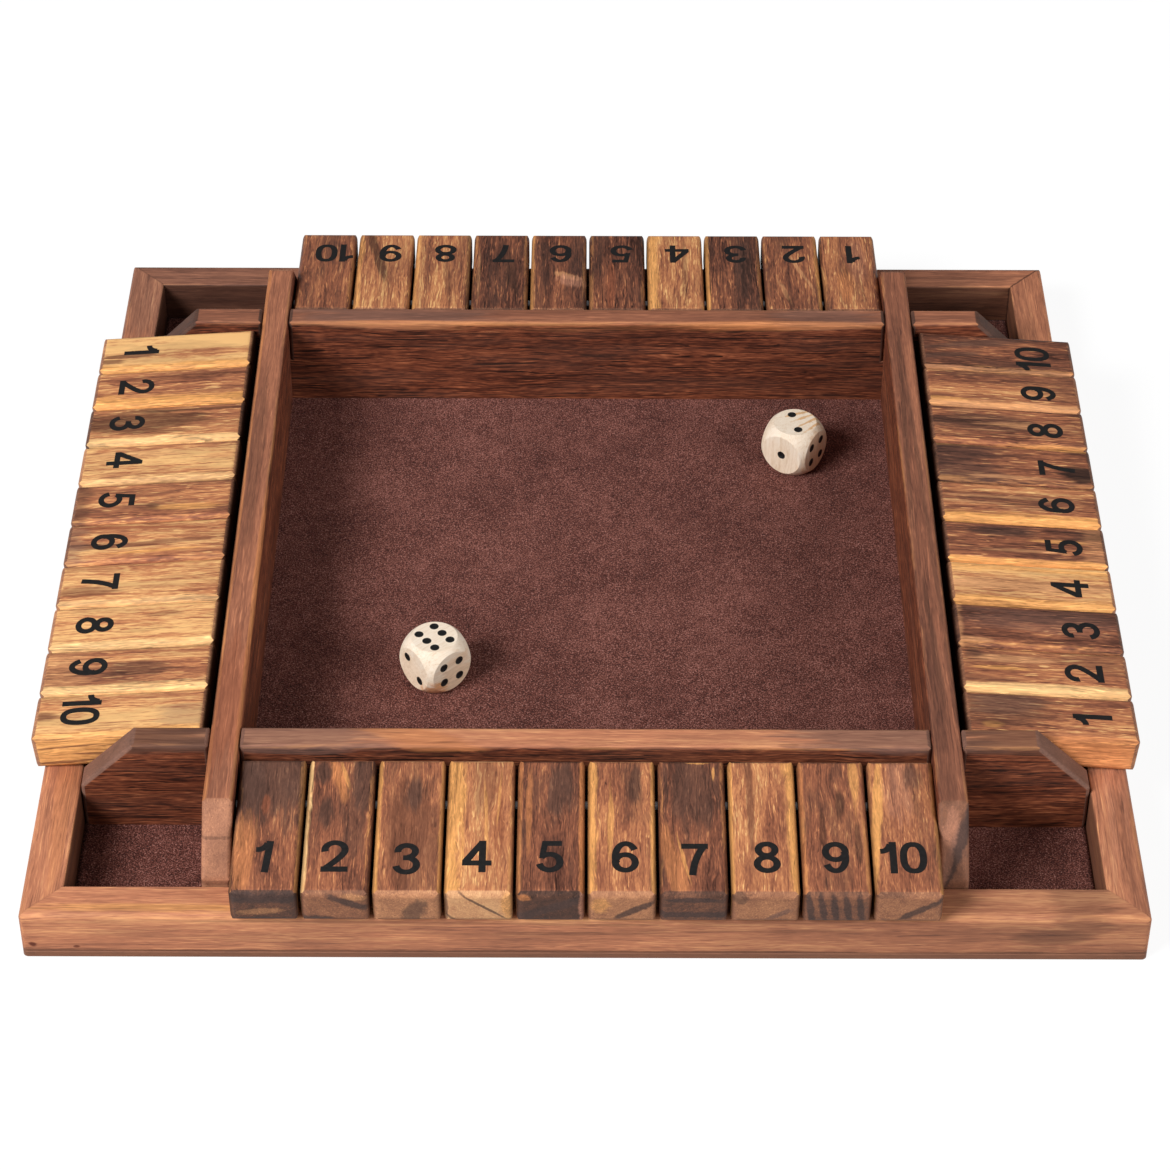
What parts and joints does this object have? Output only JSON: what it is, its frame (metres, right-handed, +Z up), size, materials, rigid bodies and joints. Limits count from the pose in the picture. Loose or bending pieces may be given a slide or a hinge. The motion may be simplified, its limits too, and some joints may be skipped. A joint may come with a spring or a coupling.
{
  "type": "shut the box game",
  "caption": "Square wooden flip-tile dice game with a felt floor, crossed partition boards, rows of numbered tiles hinged on steel rods, corner pockets and loose dice.",
  "frame": {"origin": "middle of the tray's underside, on the table", "axes": "+Z up; the front row of tiles faces -Y and its numbers run from 1 to 10 along +X"},
  "size_m": [0.3104, 0.3104, 0.033],
  "materials": {
    "frame_wood": "satin",
    "partition_wood": "satin",
    "tile_wood_front": "satin",
    "tile_wood_left": "satin",
    "tile_wood_back": "satin",
    "tile_wood_right": "satin",
    "felt": "matte",
    "rod_steel": "satin",
    "dice_wood": "satin",
    "number_ink": "matte",
    "pip_ink": "matte"
  },
  "bodies": {
    "tray": {"base_panel": "frame_wood", "felt_lining": "felt", "rail_front": "frame_wood", "rail_left": "frame_wood", "rail_back": "frame_wood", "rail_right": "frame_wood", "partition_front": "partition_wood", "partition_left": "partition_wood", "partition_back": "partition_wood", "partition_right": "partition_wood", "rod_front": "rod_steel", "rod_left": "rod_steel", "rod_back": "rod_steel", "rod_right": "rod_steel"},
    "tile_front_01": {"tile_front_01": "tile_wood_front"},
    "tile_front_02": {"tile_front_02": "tile_wood_front"},
    "tile_front_03": {"tile_front_03": "tile_wood_front"},
    "tile_front_04": {"tile_front_04": "tile_wood_front"},
    "tile_front_05": {"tile_front_05": "tile_wood_front"},
    "tile_front_06": {"tile_front_06": "tile_wood_front"},
    "tile_front_07": {"tile_front_07": "tile_wood_front"},
    "tile_front_08": {"tile_front_08": "tile_wood_front"},
    "tile_front_09": {"tile_front_09": "tile_wood_front"},
    "tile_front_10": {"tile_front_10": "tile_wood_front"},
    "tile_left_01": {"tile_left_01": "tile_wood_left"},
    "tile_left_02": {"tile_left_02": "tile_wood_left"},
    "tile_left_03": {"tile_left_03": "tile_wood_left"},
    "tile_left_04": {"tile_left_04": "tile_wood_left"},
    "tile_left_05": {"tile_left_05": "tile_wood_left"},
    "tile_left_06": {"tile_left_06": "tile_wood_left"},
    "tile_left_07": {"tile_left_07": "tile_wood_left"},
    "tile_left_08": {"tile_left_08": "tile_wood_left"},
    "tile_left_09": {"tile_left_09": "tile_wood_left"},
    "tile_left_10": {"tile_left_10": "tile_wood_left"},
    "tile_back_01": {"tile_back_01": "tile_wood_back"},
    "tile_back_02": {"tile_back_02": "tile_wood_back"},
    "tile_back_03": {"tile_back_03": "tile_wood_back"},
    "tile_back_04": {"tile_back_04": "tile_wood_back"},
    "tile_back_05": {"tile_back_05": "tile_wood_back"},
    "tile_back_06": {"tile_back_06": "tile_wood_back"},
    "tile_back_07": {"tile_back_07": "tile_wood_back"},
    "tile_back_08": {"tile_back_08": "tile_wood_back"},
    "tile_back_09": {"tile_back_09": "tile_wood_back"},
    "tile_back_10": {"tile_back_10": "tile_wood_back"},
    "tile_right_01": {"tile_right_01": "tile_wood_right"},
    "tile_right_02": {"tile_right_02": "tile_wood_right"},
    "tile_right_03": {"tile_right_03": "tile_wood_right"},
    "tile_right_04": {"tile_right_04": "tile_wood_right"},
    "tile_right_05": {"tile_right_05": "tile_wood_right"},
    "tile_right_06": {"tile_right_06": "tile_wood_right"},
    "tile_right_07": {"tile_right_07": "tile_wood_right"},
    "tile_right_08": {"tile_right_08": "tile_wood_right"},
    "tile_right_09": {"tile_right_09": "tile_wood_right"},
    "tile_right_10": {"tile_right_10": "tile_wood_right"},
    "die_1": {"die_1": "dice_wood"},
    "die_2": {"die_2": "dice_wood"}
  },
  "joints": [
    {"name": "flip_front_01", "type": "hinge", "parent": "tray", "child": "tile_front_01", "pos_m": [-0.08594, -0.11827, 0.0241], "axis": [-1, 0, 0], "range_deg": [0, 122]},
    {"name": "flip_front_02", "type": "hinge", "parent": "tray", "child": "tile_front_02", "pos_m": [-0.06678, -0.11827, 0.0241], "axis": [-1, 0, 0], "range_deg": [0, 132.5]},
    {"name": "flip_front_03", "type": "hinge", "parent": "tray", "child": "tile_front_03", "pos_m": [-0.04762, -0.11827, 0.0241], "axis": [-1, 0, 0], "range_deg": [0, 132.5]},
    {"name": "flip_front_04", "type": "hinge", "parent": "tray", "child": "tile_front_04", "pos_m": [-0.02846, -0.11827, 0.0241], "axis": [-1, 0, 0], "range_deg": [0, 132.5]},
    {"name": "flip_front_05", "type": "hinge", "parent": "tray", "child": "tile_front_05", "pos_m": [-0.0093, -0.11827, 0.0241], "axis": [-1, 0, 0], "range_deg": [0, 132.5]},
    {"name": "flip_front_06", "type": "hinge", "parent": "tray", "child": "tile_front_06", "pos_m": [0.00986, -0.11827, 0.0241], "axis": [-1, 0, 0], "range_deg": [0, 132.5]},
    {"name": "flip_front_07", "type": "hinge", "parent": "tray", "child": "tile_front_07", "pos_m": [0.02902, -0.11827, 0.0241], "axis": [-1, 0, 0], "range_deg": [0, 132.5]},
    {"name": "flip_front_08", "type": "hinge", "parent": "tray", "child": "tile_front_08", "pos_m": [0.04818, -0.11827, 0.0241], "axis": [-1, 0, 0], "range_deg": [0, 132.5]},
    {"name": "flip_front_09", "type": "hinge", "parent": "tray", "child": "tile_front_09", "pos_m": [0.06734, -0.11827, 0.0241], "axis": [-1, 0, 0], "range_deg": [0, 132.5]},
    {"name": "flip_front_10", "type": "hinge", "parent": "tray", "child": "tile_front_10", "pos_m": [0.0865, -0.11827, 0.0241], "axis": [-1, 0, 0], "range_deg": [0, 132.5]},
    {"name": "flip_left_01", "type": "hinge", "parent": "tray", "child": "tile_left_01", "pos_m": [-0.11827, 0.0865, 0.0241], "axis": [0, 1, 0], "range_deg": [0, 122]},
    {"name": "flip_left_02", "type": "hinge", "parent": "tray", "child": "tile_left_02", "pos_m": [-0.11827, 0.06734, 0.0241], "axis": [0, 1, 0], "range_deg": [0, 132.5]},
    {"name": "flip_left_03", "type": "hinge", "parent": "tray", "child": "tile_left_03", "pos_m": [-0.11827, 0.04818, 0.0241], "axis": [0, 1, 0], "range_deg": [0, 132.5]},
    {"name": "flip_left_04", "type": "hinge", "parent": "tray", "child": "tile_left_04", "pos_m": [-0.11827, 0.02902, 0.0241], "axis": [0, 1, 0], "range_deg": [0, 132.5]},
    {"name": "flip_left_05", "type": "hinge", "parent": "tray", "child": "tile_left_05", "pos_m": [-0.11827, 0.00986, 0.0241], "axis": [0, 1, 0], "range_deg": [0, 132.5]},
    {"name": "flip_left_06", "type": "hinge", "parent": "tray", "child": "tile_left_06", "pos_m": [-0.11827, -0.0093, 0.0241], "axis": [0, 1, 0], "range_deg": [0, 132.5]},
    {"name": "flip_left_07", "type": "hinge", "parent": "tray", "child": "tile_left_07", "pos_m": [-0.11827, -0.02846, 0.0241], "axis": [0, 1, 0], "range_deg": [0, 132.5]},
    {"name": "flip_left_08", "type": "hinge", "parent": "tray", "child": "tile_left_08", "pos_m": [-0.11827, -0.04762, 0.0241], "axis": [0, 1, 0], "range_deg": [0, 132.5]},
    {"name": "flip_left_09", "type": "hinge", "parent": "tray", "child": "tile_left_09", "pos_m": [-0.11827, -0.06678, 0.0241], "axis": [0, 1, 0], "range_deg": [0, 132.5]},
    {"name": "flip_left_10", "type": "hinge", "parent": "tray", "child": "tile_left_10", "pos_m": [-0.11827, -0.08594, 0.0241], "axis": [0, 1, 0], "range_deg": [0, 132.5]},
    {"name": "flip_back_01", "type": "hinge", "parent": "tray", "child": "tile_back_01", "pos_m": [0.0865, 0.11827, 0.0241], "axis": [1, 0, 0], "range_deg": [0, 122]},
    {"name": "flip_back_02", "type": "hinge", "parent": "tray", "child": "tile_back_02", "pos_m": [0.06734, 0.11827, 0.0241], "axis": [1, 0, 0], "range_deg": [0, 132.5]},
    {"name": "flip_back_03", "type": "hinge", "parent": "tray", "child": "tile_back_03", "pos_m": [0.04818, 0.11827, 0.0241], "axis": [1, 0, 0], "range_deg": [0, 132.5]},
    {"name": "flip_back_04", "type": "hinge", "parent": "tray", "child": "tile_back_04", "pos_m": [0.02902, 0.11827, 0.0241], "axis": [1, 0, 0], "range_deg": [0, 132.5]},
    {"name": "flip_back_05", "type": "hinge", "parent": "tray", "child": "tile_back_05", "pos_m": [0.00986, 0.11827, 0.0241], "axis": [1, 0, 0], "range_deg": [0, 132.5]},
    {"name": "flip_back_06", "type": "hinge", "parent": "tray", "child": "tile_back_06", "pos_m": [-0.0093, 0.11827, 0.0241], "axis": [1, 0, 0], "range_deg": [0, 132.5]},
    {"name": "flip_back_07", "type": "hinge", "parent": "tray", "child": "tile_back_07", "pos_m": [-0.02846, 0.11827, 0.0241], "axis": [1, 0, 0], "range_deg": [0, 132.5]},
    {"name": "flip_back_08", "type": "hinge", "parent": "tray", "child": "tile_back_08", "pos_m": [-0.04762, 0.11827, 0.0241], "axis": [1, 0, 0], "range_deg": [0, 132.5]},
    {"name": "flip_back_09", "type": "hinge", "parent": "tray", "child": "tile_back_09", "pos_m": [-0.06678, 0.11827, 0.0241], "axis": [1, 0, 0], "range_deg": [0, 132.5]},
    {"name": "flip_back_10", "type": "hinge", "parent": "tray", "child": "tile_back_10", "pos_m": [-0.08594, 0.11827, 0.0241], "axis": [1, 0, 0], "range_deg": [0, 132.5]},
    {"name": "flip_right_01", "type": "hinge", "parent": "tray", "child": "tile_right_01", "pos_m": [0.11827, -0.08598, 0.0241], "axis": [0, -1, 0], "range_deg": [0, 122]},
    {"name": "flip_right_02", "type": "hinge", "parent": "tray", "child": "tile_right_02", "pos_m": [0.11827, -0.06682, 0.0241], "axis": [0, -1, 0], "range_deg": [0, 132.5]},
    {"name": "flip_right_03", "type": "hinge", "parent": "tray", "child": "tile_right_03", "pos_m": [0.11827, -0.04766, 0.0241], "axis": [0, -1, 0], "range_deg": [0, 132.5]},
    {"name": "flip_right_04", "type": "hinge", "parent": "tray", "child": "tile_right_04", "pos_m": [0.11827, -0.0285, 0.0241], "axis": [0, -1, 0], "range_deg": [0, 132.5]},
    {"name": "flip_right_05", "type": "hinge", "parent": "tray", "child": "tile_right_05", "pos_m": [0.11827, -0.00934, 0.0241], "axis": [0, -1, 0], "range_deg": [0, 132.5]},
    {"name": "flip_right_06", "type": "hinge", "parent": "tray", "child": "tile_right_06", "pos_m": [0.11827, 0.00982, 0.0241], "axis": [0, -1, 0], "range_deg": [0, 132.5]},
    {"name": "flip_right_07", "type": "hinge", "parent": "tray", "child": "tile_right_07", "pos_m": [0.11827, 0.02898, 0.0241], "axis": [0, -1, 0], "range_deg": [0, 132.5]},
    {"name": "flip_right_08", "type": "hinge", "parent": "tray", "child": "tile_right_08", "pos_m": [0.11827, 0.04814, 0.0241], "axis": [0, -1, 0], "range_deg": [0, 132.5]},
    {"name": "flip_right_09", "type": "hinge", "parent": "tray", "child": "tile_right_09", "pos_m": [0.11827, 0.0673, 0.0241], "axis": [0, -1, 0], "range_deg": [0, 132.5]},
    {"name": "flip_right_10", "type": "hinge", "parent": "tray", "child": "tile_right_10", "pos_m": [0.11827, 0.08646, 0.0241], "axis": [0, -1, 0], "range_deg": [0, 132.5]},
    {"name": "lift_die_1", "type": "slide", "parent": "tray", "child": "die_1", "axis": [0, 0, 1], "range_m": [0, 0.08]},
    {"name": "lift_die_2", "type": "slide", "parent": "tray", "child": "die_2", "axis": [0, 0, 1], "range_m": [0, 0.08]}
  ]
}
